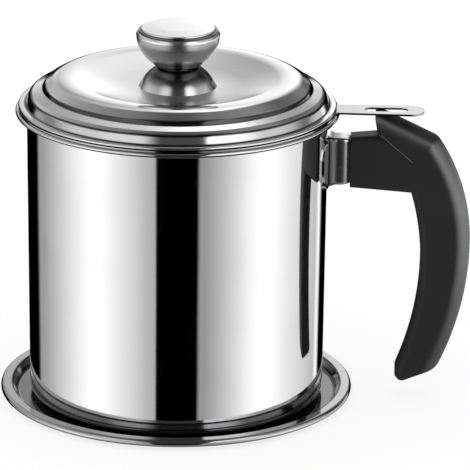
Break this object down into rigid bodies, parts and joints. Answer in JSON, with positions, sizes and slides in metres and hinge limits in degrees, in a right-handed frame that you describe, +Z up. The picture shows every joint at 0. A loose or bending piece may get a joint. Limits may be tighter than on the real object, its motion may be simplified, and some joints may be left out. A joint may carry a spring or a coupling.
{
  "type": "grease container",
  "caption": "Lidded steel pot with a lift-out mesh strainer, a side handle and a saucer tray, for straining and keeping cooking fat.",
  "frame": {"origin": "centre of the tray's flat underside, on the surface that the part stands on", "axes": "+Z up along the common axis of tray, pot, strainer and lid; +X towards the handle and the strainer's tab"},
  "size_m": [0.1885, 0.142, 0.1524],
  "materials": {
    "polished_steel": "mirror polished",
    "satin_steel": "satin",
    "steel_mesh": "woven wire",
    "black_phenolic": "moulded, semi-gloss",
    "screw_steel": "zinc plated"
  },
  "bodies": {
    "tray": {"drip_tray": "polished_steel"},
    "pot": {"pot_body": "polished_steel", "handle_base_plate": "polished_steel", "handle_ferrule": "polished_steel", "handle_tongue": "satin_steel", "handle_grip": "black_phenolic", "handle_screw": "screw_steel"},
    "strainer": {"strainer_frame": "polished_steel", "strainer_mesh": "steel_mesh", "strainer_clamp_ring": "satin_steel"},
    "lid": {"lid_shell": "polished_steel", "knob_skirt": "polished_steel", "knob_spacer": "satin_steel", "knob_bowl": "polished_steel", "knob_cap": "polished_steel", "knob_nut": "screw_steel", "knob_washer": "screw_steel", "knob_screw": "screw_steel"}
  },
  "joints": [
    {"name": "pot_lift", "type": "slide", "parent": "tray", "child": "pot", "axis": [0, 0, 1], "range_m": [0, 0.03]},
    {"name": "strainer_lift", "type": "slide", "parent": "pot", "child": "strainer", "axis": [0, 0, 1], "range_m": [0, 0.06]},
    {"name": "lid_lift", "type": "slide", "parent": "strainer", "child": "lid", "axis": [0, 0, 1], "range_m": [0, 0.04]}
  ]
}
